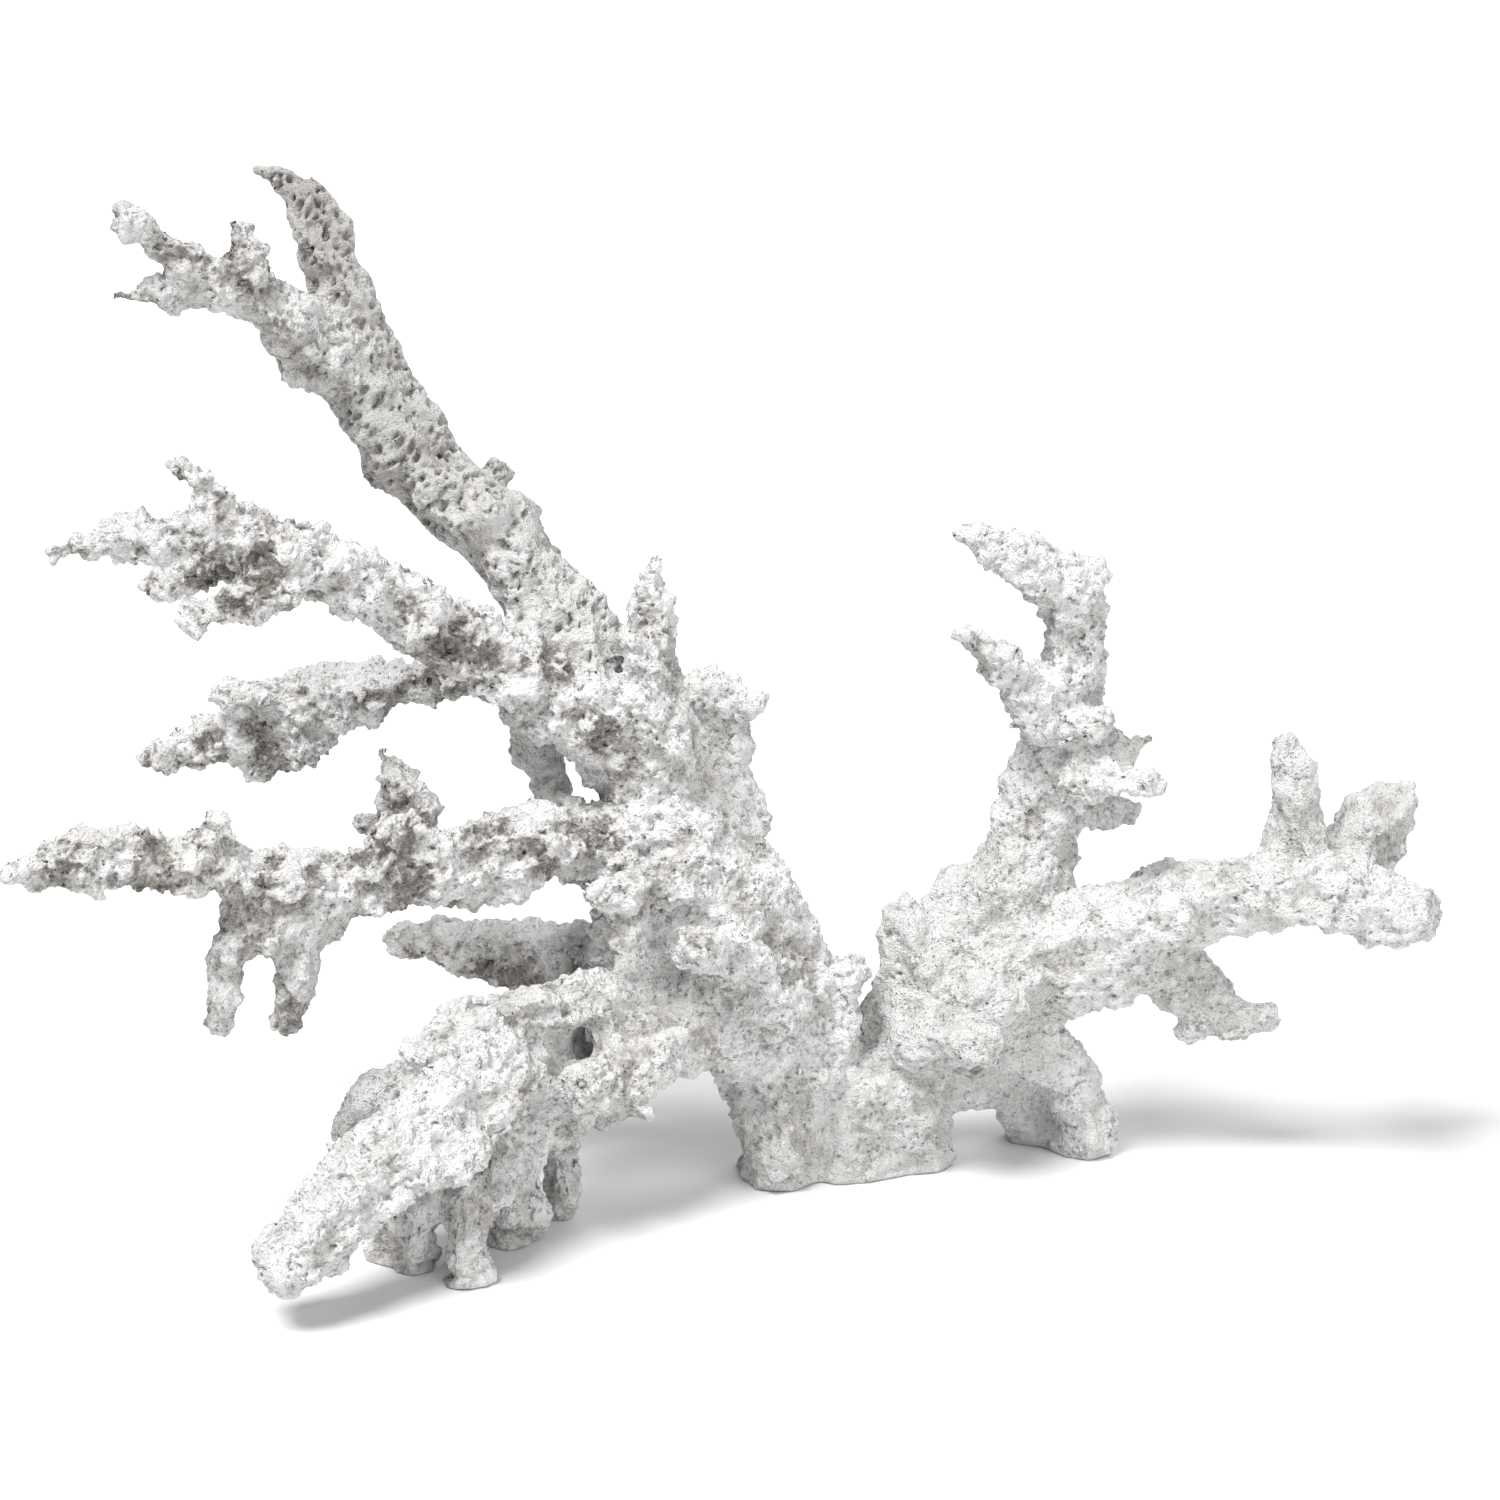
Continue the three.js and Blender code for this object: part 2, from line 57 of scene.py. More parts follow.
# Soft studio lights: heading, strength and width in degrees.
SOFT_LIGHTS = {
    "key_from_upper_left": ((0.32, 0.38, -0.87), 3.3, 26),
    "fill_from_front_right": ((-0.5, 0.7, -0.5), 1.1, 50),
    "rim_from_behind": ((-0.35, -0.75, -0.55), 1.5, 60),
}
# The surround lights the coral this faintly, but the camera sees it white.
SURROUND_STRENGTH = 0.1
WHITE = (1.0, 1.0, 1.0, 1.0)
FLOOR_REACH = 9.0
FLOOR_SHADE = 0.9
FLOOR_ROUGHNESS = 0.8
FLOOR_SPECULAR = 0.1

# How the solids become one grown form: swollen until forks and slits close, melted onto a grid,
# rounded, drawn back in and eased.
MERGE_STEP = 0.001 * MM
FORK_SWELL = 1.1 * MM
GRID_STEP = 1.6 * MM
SMOOTHING = 0.5
ROUNDING_PASSES = 5
DRAW_BACK = 0.5 * MM
EASING_PASSES = 2
SUBDIVISIONS = 1

# How the faces are shared out among the branches, and how far the finishes blend at the borders.
BORDER_PASSES = 6
OWN_VOTE = 0.5
JOINING_PASSES = 4
BLENDING_PASSES = 5
OWN_WEIGHT = 2.0

# The caps that close a branch at its forks lie at least this deep under the skin, in rings that
# lie these shares of the way to the middle.
CAP_DEPTH = 1.2 * MM
CAP_RINGS = (0.0, 0.3, 0.7)
CAP_NORMAL = (0.0, 0.0, 1.0)

# How much of each finish a branch has: pitted skin, crumbly nodules, ledges, worn smoothness, and
# dust with painted shade, which greys the branches that lie in shade.
FINISH_NAMES = ("pitted", "crusty", "ledged", "worn", "dusty_and_shaded")
BRANCH_FINISH = {
    "base_foot": (0.0, 0.3, 0.1, 0.5, 0.2),
    "left_trunk": (0.0, 0.6, 0.1, 0.1, 0.4),
    "right_stem": (0.0, 0.4, 0.1, 0.5, 0.1),
    "crest_branch": (1.0, 0.3, 0.0, 0.2, 0.4),
    "crest_fork": (0.4, 0.6, 0.0, 0.1, 0.8),
    "shoulder_branch": (0.0, 1.0, 0.0, 0.0, 1.0),
    "side_branch": (0.0, 0.9, 0.0, 0.0, 0.9),
    "hanging_prongs": (0.0, 0.3, 0.1, 0.3, 0.7),
    "trunk_spike": (0.1, 0.6, 0.0, 0.1, 0.4),
    "broken_stub": (0.0, 0.5, 0.2, 0.1, 0.1),
    "rear_branch": (0.0, 0.9, 0.0, 0.0, 1.0),
    "bridge_strut": (0.0, 0.3, 0.0, 0.4, 0.3),
    "low_branch": (0.0, 0.4, 0.0, 0.2, 1.0),
    "front_leg": (0.0, 0.4, 1.0, 0.3, 0.5),
    "front_arm": (0.0, 0.5, 0.7, 0.2, 0.1),
    "rear_finger": (0.0, 0.3, 0.2, 0.4, 0.3),
    "upright_branch": (0.1, 0.6, 0.0, 0.1, 0.3),
    "reaching_branch": (0.0, 0.5, 0.0, 0.45, 0.15),
    "reaching_tips": (0.0, 0.4, 0.0, 0.55, 0.25),
    "small_tip": (0.0, 0.3, 0.0, 0.5, 0.2),
    "drooping_branch": (0.0, 0.3, 0.1, 0.5, 0.15),
    "right_legs": (0.0, 0.2, 0.0, 0.45, 0.0),
}

# The skin's sizes, heights and depths in metres, which are inputs of its tree.
SKIN_SIZES = {
    "Lump Size": 14 * MM,
    "Lump Height": 6.6 * MM,
    "Nodule Size": 6.5 * MM,
    "Nodule Height": 4.8 * MM,
    "Crumb Size": 2.9 * MM,
    "Crumb Height": 2.7 * MM,
    "Pebble Size": 3.0 * MM,
    "Pebble Height": 2.2 * MM,
    "Ledge Size": 16 * MM,
    "Ledge Height": 2.4 * MM,
    "Cavity Size": 3.2 * MM,
    "Cavity Depth": 2.0 * MM,
    "Pore Size": 2.1 * MM,
    "Pore Depth": 1.8 * MM,
    "Pit Size": 2.8 * MM,
    "Pit Depth": 3.4 * MM,
    "Skin Patch": 13 * MM,
    "Porous Patch": 11 * MM,
    "Sole Fade": 3 * MM,
}
# How coarsely and how far the places of a pattern are stirred, so that it loses its even grid.
STIR_SIZE = 5 * MM
STIR_REACH = 5 * MM
STIR_MIDDLE = (0.5, 0.5, 0.5)
# How much of a pattern each finish takes away.
WORN_CALM = 0.75
WORN_LUMP_CALM = 0.45
PITTED_LUMP_CALM = 0.1
PITTED_GRIT_CALM = 0.8
LEDGED_GRIT_CALM = 0.45
# Where in its pattern each mask begins, and where it is full.
PITTED_BAND = (0.28, 0.38)
POROUS_BAND = (0.36, 0.52)
CAVITY_BAND = (0.44, 0.3)
# Every branch has the plain share of the nodules, and a crusty one this much more.
CRUSTY_NODULES = 0.9
PLAIN_NODULES = 0.1
# How far neighbouring cells blend, and the distance to a cell's middle at which its form
# neither rises nor falls.
NODULE_BLEND = 0.2
NODULE_MIDDLE = 0.5
PEBBLE_BLEND = 0.15
PEBBLE_MIDDLE = 0.45
# A noise keeps close to its middle, so lumps and ledges are lifted by these gains.
LUMP_GAIN = 2.0
LEDGE_GAIN = 4.0
LEDGE_STEPS = 5.0
LEDGE_RISER = 0.22
LEDGE_MIDDLE = 0.62
# Round hollows: their least and greatest width, the share of the cells that has one, and where
# from the rim inward the bottom begins.
PORE_WIDTHS = (0.18, 0.45)
PORE_SHARE = 0.75
PIT_WIDTHS = (0.28, 0.5)
PIT_SHARE = 1.0
DENT_BOTTOM = 0.45
PIT_SLANT = math.radians(58)
PIT_STRETCH = 0.42
# What the materials are told: how far a point stands out, with undersides counted as sunk for
# painted shade, and how deep in a hollow it lies, for painted shade in the hollows.
RELIEF_BAND = (-2.8 * MM, 2.4 * MM)
RELIEF_FACING_UP = 0.24
PORE_HOLLOW = 0.7
CAVITY_HOLLOW = 0.35

# Each material's grain size, pinhole size, share of the cells with a pinhole, and bump strength.
CORAL_MATERIALS = {
    "pitted": (0.8 * MM, 1.7 * MM, 0.6, 0.9),
    "crusty": (0.9 * MM, 1.7 * MM, 0.95, 1.0),
    "worn": (0.8 * MM, 1.5 * MM, 0.8, 1.1),
}
BUMP_DISTANCE = 2.2 * MM
CORAL_SPECULAR = 0.25

# The grain's bump is in shares of the bump distance. Pinhole widths are in shares of a cell.
GRAIN_HEIGHT = 0.6
PINHOLE_DEPTH = 0.3
PINHOLE_WIDTHS = (0.25, 0.55)
PINHOLE_BOTTOM = 0.15
PINHOLE_STIR_SIZE = 2.2 * MM
PINHOLE_STIR_REACH = 1.6 * MM
CLUSTER_SIZE = 8 * MM
CLUSTER_BAND = (0.4, 0.58)

CHALK = (0.9, 0.893, 0.887, 1.0)
GREY_CHALK = (0.61, 0.6, 0.587, 1.0)
# Dust and painted shade: this warm grey darkens the dust clouds and, as painted shade, the hollows,
# recesses, pinholes and undersides.
DUST_AND_SHADE = (0.25, 0.232, 0.21, 1.0)
STAIN = (0.83, 0.8, 0.74, 1.0)
# The pitted skin is paler at its foot and greys between these heights.
GREYING_FROM = 190 * MM
GREYING_TO = 250 * MM
FOOT_GREY = 0.4
WORN_GREY = 0.6
# Dust lies in soft clouds and a fine mottle breaks it up; the recesses are darkened too, as painted
# shade, and the clouds are thicker there.
CLOUD_SIZE = 17 * MM
CLOUD_BAND = (0.4, 0.6)
MOTTLE_SIZE = 1.7 * MM
MOTTLE_BAND = (0.38, 0.62)
MOTTLE_DUST = 0.08
RECESS_BAND = (0.74, 0.36)
# Pairs of a factor and what is added to it.
CLOUD_BY_RECESS = (0.75, 0.25)
DUST_AND_SHADE_BY_GRAIN = (0.35, 0.65)
DUST_AND_SHADE_BY_BRANCH = (0.8, 0.2)
# How much of the dust and painted shade comes from the clouds, and how much is painted shade from
# the recesses alone.
CLOUD_SHARE = 0.8
RECESS_SHARE = 0.2
STAIN_SIZE = 38 * MM
STAIN_BAND = (0.58, 0.78)
STAIN_SHARE = 0.6
CLEAN_ROUGHNESS = 0.86
DUSTY_ROUGHNESS = 0.97
# The colour sockets of a mix node: share, first, second, and its result.
MIX_SHARE, MIX_FIRST, MIX_SECOND, MIX_RESULT = 0, 6, 7, 2


class Wiring:
    """Adds and joins the nodes of one tree."""

    def __init__(self, tree):
        self.tree = tree

    def node(self, kind, inputs=None, **settings):
        made = self.tree.nodes.new(kind)
        for name, value in settings.items():
            setattr(made, name, value)
        for name, value in (inputs or {}).items():
            self.feed(made.inputs[name], value)
        return made

    def feed(self, socket, value):
        if isinstance(value, bpy.types.NodeSocket):
            self.tree.links.new(value, socket)
        else:
            socket.default_value = value

    def math(self, operation, first, second=0.0, clamp=False):
        inputs = {0: first, 1: second}
        return self.node("ShaderNodeMath", inputs, operation=operation, use_clamp=clamp).outputs[0]

    def scaled(self, value, factor, extra):
        """The value times the factor, plus the extra."""
        inputs = {0: value, 1: factor, 2: extra}
        return self.node("ShaderNodeMath", inputs, operation="MULTIPLY_ADD").outputs[0]

    def product(self, first, *others):
        for other in others:
            first = self.math("MULTIPLY", first, other)
        return first

    def total(self, first, *others):
        for other in others:
            first = self.math("ADD", first, other)
        return first

    def vector(self, operation, first, second=None, scale=None):
        made = self.node("ShaderNodeVectorMath", {0: first}, operation=operation)
        if second is not None:
            self.feed(made.inputs[1], second)
        if scale is not None:
            self.feed(made.inputs["Scale"], scale)
        return made.outputs[0]

    def ramp(self, value, low, high, start=0.0, end=1.0):
        made = self.node("ShaderNodeMapRange", interpolation_type="SMOOTHSTEP")
        for index, item in enumerate((value, low, high, start, end)):
            self.feed(made.inputs[index], item)
        return made.outputs[0]

    def noise(self, place, size, detail=2.0, roughness=0.5):
        scale = self.math("DIVIDE", 1.0, size)
        inputs = {"Vector": place, "Scale": scale, "Detail": detail, "Roughness": roughness}
        return self.node("ShaderNodeTexNoise", inputs).outputs[0]

    def cells(self, place, size):
        """The distance to the middle of each place's cell, and the cell's own random draw."""
        inputs = {"Vector": place, "Scale": self.math("DIVIDE", 1.0, size)}
        made = self.node("ShaderNodeTexVoronoi", inputs)
        return made.outputs["Distance"], made.outputs["Color"]

    def soft_cells(self, place, size, blend):
        """The distance to the middle of each place's cell, blended across the borders."""
        inputs = {"Vector": place, "Scale": self.math("DIVIDE", 1.0, size)}
        made = self.node("ShaderNodeTexVoronoi", inputs, feature="SMOOTH_F1")
        self.feed(made.inputs["Smoothness"], blend)
        return made.outputs["Distance"]

    def stir(self, place, size, detail):
        """Three random values that change over the given size, for moving a pattern about."""
        inputs = {"Vector": place, "Scale": 1 / size, "Detail": detail}
        return self.node("ShaderNodeTexNoise", inputs).outputs["Color"]


def add_sockets(tree, inputs, outputs):
    kinds = {"geometry": "NodeSocketGeometry", "value": "NodeSocketFloat",
             "colour": "NodeSocketColor", "material": "NodeSocketMaterial"}
    for name, kind, default in inputs:
        socket = tree.interface.new_socket(name, in_out="INPUT", socket_type=kinds[kind])
        if default is not None:
            socket.default_value = default
    for name, kind in outputs:
        tree.interface.new_socket(name, in_out="OUTPUT", socket_type=kinds[kind])


def centred(net, value, height, middle=0.5):
    """A pattern turned into a rise and fall of the given height about its middle value."""
    return net.product(net.math("SUBTRACT", value, middle), height)


def dents(net, place, size, widths, share):
    """Round hollows of uneven width in a share of the cells: 1 at the bottom, 0 outside."""
    distance, colour = net.cells(place, size)
    draw = net.node("ShaderNodeSeparateXYZ", {0: colour}).outputs
    least, most = widths
    width = net.scaled(draw["Y"], most - least, least)
    dent = net.ramp(net.math("DIVIDE", distance, width), 1.0, DENT_BOTTOM)
    return net.product(dent, net.math("LESS_THAN", draw["X"], share))


def moved(net, geometry, normal, height):
    """The geometry with each point moved along its normal."""
    offset = net.vector("SCALE", normal, scale=height)
    inputs = {"Geometry": geometry, "Offset": offset}
    return net.node("GeometryNodeSetPosition", inputs).outputs[0]


def swelling(net, entry, finish, place, bent):
    """The rise of the large forms: lumps, nodules and ledges."""
    steady = net.math("MAXIMUM", net.product(finish["pitted"], PITTED_LUMP_CALM),
                      net.product(finish["worn"], WORN_LUMP_CALM))
    lump_share = net.product(net.math("SUBTRACT", 1.0, steady), LUMP_GAIN)
    lump = centred(net, net.noise(place, entry["Lump Size"]), entry["Lump Height"])
    lump_rise = net.product(lump, lump_share)

    nodule = net.soft_cells(bent, entry["Nodule Size"], NODULE_BLEND)
    nodule = net.product(net.math("SUBTRACT", NODULE_MIDDLE, nodule), entry["Nodule Height"])
    nodule_share = net.scaled(finish["crusty"], CRUSTY_NODULES, PLAIN_NODULES)
    nodule_rise = net.product(nodule, nodule_share)

    steps = net.product(net.noise(bent, entry["Ledge Size"], detail=1.0), LEDGE_STEPS)
    riser = net.ramp(net.math("FRACT", steps), 0.0, LEDGE_RISER)
    ledge = net.math("DIVIDE", net.total(net.math("FLOOR", steps), riser), LEDGE_STEPS)
    ledge = centred(net, ledge, entry["Ledge Height"], LEDGE_MIDDLE)
    ledge_rise = net.product(ledge, finish["ledged"], LEDGE_GAIN)
    return net.total(lump_rise, nodule_rise, ledge_rise)


def grit(net, entry, finish, place, bent, pitted, calm):
    """The rise of the small forms: crumbs and pebbles."""
    crumb = net.noise(place, entry["Crumb Size"], detail=3.0, roughness=0.6)
    crumb_rise = net.product(centred(net, crumb, entry["Crumb Height"]), calm)
    pebble = net.soft_cells(bent, entry["Pebble Size"], PEBBLE_BLEND)
    pebble_fall = centred(net, pebble, entry["Pebble Height"], PEBBLE_MIDDLE)
    pebble_rise = net.product(pebble_fall, -1.0, calm)
    smooth = net.math("MAXIMUM", net.product(pitted, PITTED_GRIT_CALM),
                      net.product(finish["ledged"], LEDGED_GRIT_CALM))
    return net.product(net.total(crumb_rise, pebble_rise), net.math("SUBTRACT", 1.0, smooth))


def openings(net, entry, place, bent, pitted, calm):
    """Masks of the cavities, of the round pores, and of the slanting pits in the pitted skin."""
    patch = net.ramp(net.noise(place, entry["Porous Patch"], detail=3.0), *POROUS_BAND)
    cavity = net.noise(bent, entry["Cavity Size"], roughness=0.6)
    cavity = net.product(net.ramp(cavity, *CAVITY_BAND), patch, calm)
    pore = net.product(dents(net, bent, entry["Pore Size"], PORE_WIDTHS, PORE_SHARE), patch, calm)
    turned = net.node("ShaderNodeVectorRotate", {"Vector": place, "Angle": PIT_SLANT},
                      rotation_type="Y_AXIS")
    stretched = net.vector("MULTIPLY", turned.outputs[0], (PIT_STRETCH, 1.0, 1.0))
    pit = net.product(dents(net, stretched, entry["Pit Size"], PIT_WIDTHS, PIT_SHARE), pitted)
    return cavity, pore, pit


def skin_tree():
    """Lumps, nodules and ledges swell the form, then crumbs, pores and pits are worked into it."""
    tree = bpy.data.node_groups.new("Coral skin", "GeometryNodeTree")
    sizes = [(name, "value", size) for name, size in SKIN_SIZES.items()]
    inputs = [("Geometry", "geometry", None), *sizes, ("Skin Material", "material", None)]
    add_sockets(tree, inputs, [("Geometry", "geometry")])
    net = Wiring(tree)
    entry = net.node("NodeGroupInput").outputs
    finish = {}
    for name in FINISH_NAMES:
        stored = net.node("GeometryNodeInputNamedAttribute", {"Name": name}, data_type="FLOAT")
        finish[name] = stored.outputs["Attribute"]
    place = net.node("GeometryNodeInputPosition").outputs[0]
    normal = net.node("GeometryNodeInputNormal").outputs[0]
    along = net.node("ShaderNodeSeparateXYZ", {0: place}).outputs
    standing = net.ramp(along["Z"], 0.0, entry["Sole Fade"])
    calm = net.math("SUBTRACT", 1.0, net.product(finish["worn"], WORN_CALM))
    patch = net.ramp(net.noise(place, entry["Skin Patch"]), *PITTED_BAND)
    pitted = net.product(finish["pitted"], patch)
    stir = net.vector("SUBTRACT", net.stir(place, STIR_SIZE, detail=2.0), STIR_MIDDLE)
    bent = net.vector("ADD", place, net.vector("SCALE", stir, scale=STIR_REACH))

    rise = swelling(net, entry, finish, place, bent)
    swollen = moved(net, entry["Geometry"], normal, net.product(rise, standing))

    grit_rise = grit(net, entry, finish, place, bent, pitted, calm)
    cavity, pore, pit = openings(net, entry, place, bent, pitted, calm)
    fall = net.total(net.product(cavity, entry["Cavity Depth"]),
                     net.product(pore, entry["Pore Depth"]),
                     net.product(pit, entry["Pit Depth"]))
    gain = net.product(net.math("SUBTRACT", grit_rise, fall), standing)
    worked = moved(net, swollen, normal, gain)

    # The relief counts faces turned down as sunk, so that the materials paint shade on undersides.
    facing = net.node("ShaderNodeSeparateXYZ", {0: normal}).outputs
    standing_out = net.math("SUBTRACT", net.total(rise, grit_rise), fall)
    relief = net.scaled(facing["Z"], RELIEF_FACING_UP, net.ramp(standing_out, *RELIEF_BAND))
    hollow = net.math("MAXIMUM", net.product(pore, PORE_HOLLOW), net.product(cavity, CAVITY_HOLLOW))
    hollow = net.product(net.math("MAXIMUM", hollow, pit), standing)
    dressing = worked
    for name, value in (("relief", relief), ("hollow", hollow)):
        inputs = {"Geometry": dressing, "Name": name, "Value": value}
        dressing = net.node("GeometryNodeStoreNamedAttribute", inputs, data_type="FLOAT",
                            domain="POINT").outputs[0]
    above_floor = net.math("MAXIMUM", along["Z"], 0.0)
    level = net.node("ShaderNodeCombineXYZ", {"X": along["X"], "Y": along["Y"], "Z": above_floor})
    inputs = {"Geometry": dressing, "Position": level.outputs[0]}
    ground = net.node("GeometryNodeSetPosition", inputs)
    real = net.node("GeometryNodeRealizeInstances", {"Geometry": ground.outputs[0]})
    inputs = {"Geometry": real.outputs[0], "Material": entry["Skin Material"]}
    dressed = net.node("GeometryNodeSetMaterial", inputs)
    net.node("NodeGroupOutput", {0: dressed.outputs[0]})
    return tree


def set_inputs(modifier, values):
    for item in modifier.node_group.interface.items_tree:
        if item.in_out == "INPUT" and item.name in values:
            modifier[item.identifier] = values[item.name]


def evaluated_mesh(thing):
    graph = bpy.context.evaluated_depsgraph_get()
    return bpy.data.meshes.new_from_object(thing.evaluated_get(graph), depsgraph=graph)


def add_object(name, data):
    thing = bpy.data.objects.new(name, data)
    bpy.context.scene.collection.objects.link(thing)
    return thing


def remove_object(thing):
    mesh = thing.data
    bpy.data.objects.remove(thing)
    bpy.data.meshes.remove(mesh)


def read(items, name, per_item=1, kind=np.int32):
    """The named values of all items of a mesh, one after the other."""
    values = np.empty(len(items) * per_item, dtype=kind)
    items.foreach_get(name, values)
    return values


def merged_triangles(node):
    """A branch's solid as points and triangles, with its doubled points merged."""
    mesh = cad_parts[node].data
    places = read(mesh.vertices, "co", 3, float).reshape(-1, 3)
    mesh.calc_loop_triangles()
    corners = read(mesh.loop_triangles, "vertices", 3)
    keys = np.round(places / MERGE_STEP).astype(np.int64)
    _, first, inverse = np.unique(keys, axis=0, return_index=True, return_inverse=True)
    triangles = inverse.reshape(-1)[corners].reshape(-1, 3)
    a, b, c = triangles.T
    return places[first], triangles[(a != b) & (b != c) & (c != a)]


def displace(thing, name, distance):
    step = thing.modifiers.new(name, "DISPLACE")
    step.strength = distance
    step.mid_level = 0.0


def smooth_over(thing, name, passes):
    step = thing.modifiers.new(name, "SMOOTH")
    step.factor = SMOOTHING
    step.iterations = passes


def grown_form(nodes):
    """All branches melted into one rounded quad mesh, and for each face its branch."""
    points, triangles, owners = [], [], []
    offset = 0
    for index, node in enumerate(nodes):
        places, corners = merged_triangles(node)
        points.append(places)
        triangles.append(corners + offset)
        owners.append(np.full(len(corners), index))
        offset += len(places)
    points, triangles, owners = map(np.concatenate, (points, triangles, owners))
    mesh = bpy.data.meshes.new("joined_solids")
    mesh.from_pydata(points.tolist(), [], triangles.tolist())
    joined = add_object("joined_solids", mesh)
    displace(joined, "swell", FORK_SWELL)
    melt = joined.modifiers.new("melt", "REMESH")
    melt.mode = "VOXEL"
    melt.voxel_size = GRID_STEP
    melt.adaptivity = 0.0
    smooth_over(joined, "rounding", ROUNDING_PASSES)
    displace(joined, "draw_back", -DRAW_BACK)
    smooth_over(joined, "easing", EASING_PASSES)
    form = evaluated_mesh(joined)
    remove_object(joined)
    tree = BVHTree.FromPolygons(points.tolist(), triangles.tolist())
    labels = np.array([owners[tree.find_nearest(face.center)[2]] for face in form.polygons])
    return form, labels


def face_pairs(mesh):
    """The two faces on each side of every edge."""
    counts = read(mesh.polygons, "loop_total")
    edges = read(mesh.loops, "edge_index")
    faces = np.repeat(np.arange(len(counts)), counts)
    order = np.argsort(edges, kind="stable")
    edges, faces = edges[order], faces[order]
    same = np.flatnonzero(edges[:-1] == edges[1:])
    return faces[same], faces[same + 1]


def even_borders(labels, pairs, kinds):
    """Straightens the borders between branches by a vote of neighbouring faces."""
    first, second = pairs
    for _ in range(BORDER_PASSES):
        votes = np.zeros((len(labels), kinds))
        np.add.at(votes, (first, labels[second]), 1)
        np.add.at(votes, (second, labels[first]), 1)
        votes[np.arange(len(labels)), labels] += OWN_VOTE
        labels = votes.argmax(axis=1)
    return labels


def islands(labels, pairs):
    """Numbers the connected patches of faces that share a branch."""
    neighbours = [[] for _ in labels]
    for a, b in zip(*(side.tolist() for side in pairs)):
        if labels[a] == labels[b]:
            neighbours[a].append(b)
            neighbours[b].append(a)
    island = np.full(len(labels), -1)
    number = 0
    for start in range(len(labels)):
        if island[start] >= 0:
            continue
        island[start] = number
        waiting = [start]
        while waiting:
            face = waiting.pop()
            for other in neighbours[face]:
                if island[other] < 0:
                    island[other] = number
                    waiting.append(other)
        number += 1
    return island


def join_islands(labels, pairs, kinds):
    """Gives every stray patch to the branch around it, so that a branch is one patch."""
    for _ in range(JOINING_PASSES):
        island = islands(labels, pairs)
        sizes = np.bincount(island)
        if len(sizes) == kinds:
            break
        owner = np.zeros(len(sizes), dtype=int)
        owner[island] = labels
        largest = [np.argmax(np.where(owner == kind, sizes, 0)) for kind in range(kinds)]
        stray = np.array([largest[kind] != number for number, kind in enumerate(owner)])
        votes = np.zeros((len(sizes), kinds))
        for a, b in (pairs, pairs[::-1]):
            outer = stray[island[a]] & (labels[a] != labels[b])
            np.add.at(votes, (island[a][outer], labels[b][outer]), 1)
        given = stray[island] & (votes.sum(axis=1) > 0)[island]
        labels = np.where(given, votes.argmax(axis=1)[island], labels)
    return labels


def write_finish(mesh, labels, nodes):
    """Stores each face's branch and each point's share of every finish."""
    branch = mesh.attributes.new("branch", "INT", "FACE")
    branch.data.foreach_set("value", labels.astype(np.int32))
    corners = read(mesh.loops, "vertex_index")
    counts = read(mesh.polygons, "loop_total")
    edges = read(mesh.edges, "vertices", 2).reshape(-1, 2)
    shares = np.array([BRANCH_FINISH[node] for node in nodes])[np.repeat(labels, counts)]
    points = len(mesh.vertices)
    uses = np.maximum(np.bincount(corners, minlength=points), 1)
    for column, name in enumerate(FINISH_NAMES):
        value = np.bincount(corners, shares[:, column], minlength=points) / uses
        for _ in range(BLENDING_PASSES):
            total = value * OWN_WEIGHT
            weight = np.full(points, OWN_WEIGHT)
            for a, b in ((0, 1), (1, 0)):
                np.add.at(total, edges[:, a], value[edges[:, b]])
                np.add.at(weight, edges[:, a], 1)
            value = total / weight
        attribute = mesh.attributes.new(name, "FLOAT", "POINT")
        attribute.data.foreach_set("value", value.astype(np.float32))


def worked_form(form, material):
    """The grown form on a finer grid with the skin worked into it, and its surface to search."""
    thing = add_object("worked_form", form)
    finer = thing.modifiers.new("finer", "SUBSURF")
    finer.levels = SUBDIVISIONS
    finer.render_levels = SUBDIVISIONS
    skin = thing.modifiers.new("skin", "NODES")
    skin.node_group = skin_tree()
    set_inputs(skin, {**SKIN_SIZES, "Skin Material": material})
    mesh = evaluated_mesh(thing)
    surface = BVHTree.FromObject(thing, bpy.context.evaluated_depsgraph_get())
    remove_object(thing)
    return mesh, surface


